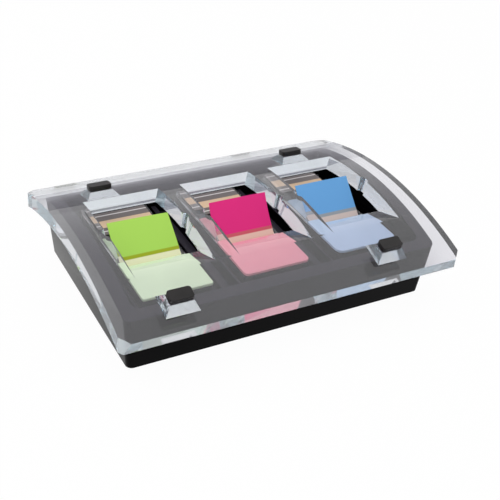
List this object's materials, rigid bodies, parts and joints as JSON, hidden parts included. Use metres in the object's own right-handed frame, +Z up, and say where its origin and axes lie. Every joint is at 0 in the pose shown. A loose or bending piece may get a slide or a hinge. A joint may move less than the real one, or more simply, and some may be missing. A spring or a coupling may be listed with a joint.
{
  "type": "index tab dispenser",
  "caption": "Desk dispenser for sticky index tabs: arched clear cover with windows on a weighted black base, tabs popping up from three cassettes.",
  "frame": {"origin": "under the middle of the cover, on the surface that the dispenser stands on", "axes": "+Z up, -Y towards the user (the long front edge), +X to the user's right, across the cassettes"},
  "size_m": [0.1424, 0.1062, 0.0358],
  "materials": {
    "base_plastic": "satin black moulding",
    "weight_steel": "zinc plated sheet",
    "grip_rubber": "matte sheet",
    "screw_steel": "plated",
    "cassette_plastic": "clear, thin wall",
    "tray_plastic": "satin black, thin wall",
    "label_film": "printed film",
    "stack_green": "translucent film edges",
    "stack_pink": "translucent film edges",
    "stack_blue": "translucent film edges",
    "tab_green": "matte film, clear towards its foot",
    "tab_pink": "matte film, clear towards its foot",
    "tab_blue": "matte film, clear towards its foot",
    "cover_acrylic": "clear, polished",
    "cap_plastic": "soft black"
  },
  "bodies": {
    "root": {"base_shell": "base_plastic", "bottom_plate": "base_plastic", "weight_plate": "weight_steel", "grip_pad": "grip_rubber", "base_screw_1": "screw_steel", "base_screw_2": "screw_steel", "base_screw_3": "screw_steel", "base_screw_4": "screw_steel", "cassette_tray_green": "tray_plastic", "cassette_lid_green": "cassette_plastic", "cassette_label_green": "label_film", "tab_stack_green": "stack_green", "raised_tab_green": "tab_green", "cassette_tray_pink": "tray_plastic", "cassette_lid_pink": "cassette_plastic", "cassette_label_pink": "label_film", "tab_stack_pink": "stack_pink", "raised_tab_pink": "tab_pink", "cassette_tray_blue": "tray_plastic", "cassette_lid_blue": "cassette_plastic", "cassette_label_blue": "label_film", "tab_stack_blue": "stack_blue", "raised_tab_blue": "tab_blue", "clear_cover": "cover_acrylic", "post_cap_front_left": "cap_plastic", "post_cap_front_right": "cap_plastic", "post_cap_back_left": "cap_plastic", "post_cap_back_right": "cap_plastic"}
  },
  "joints": []
}
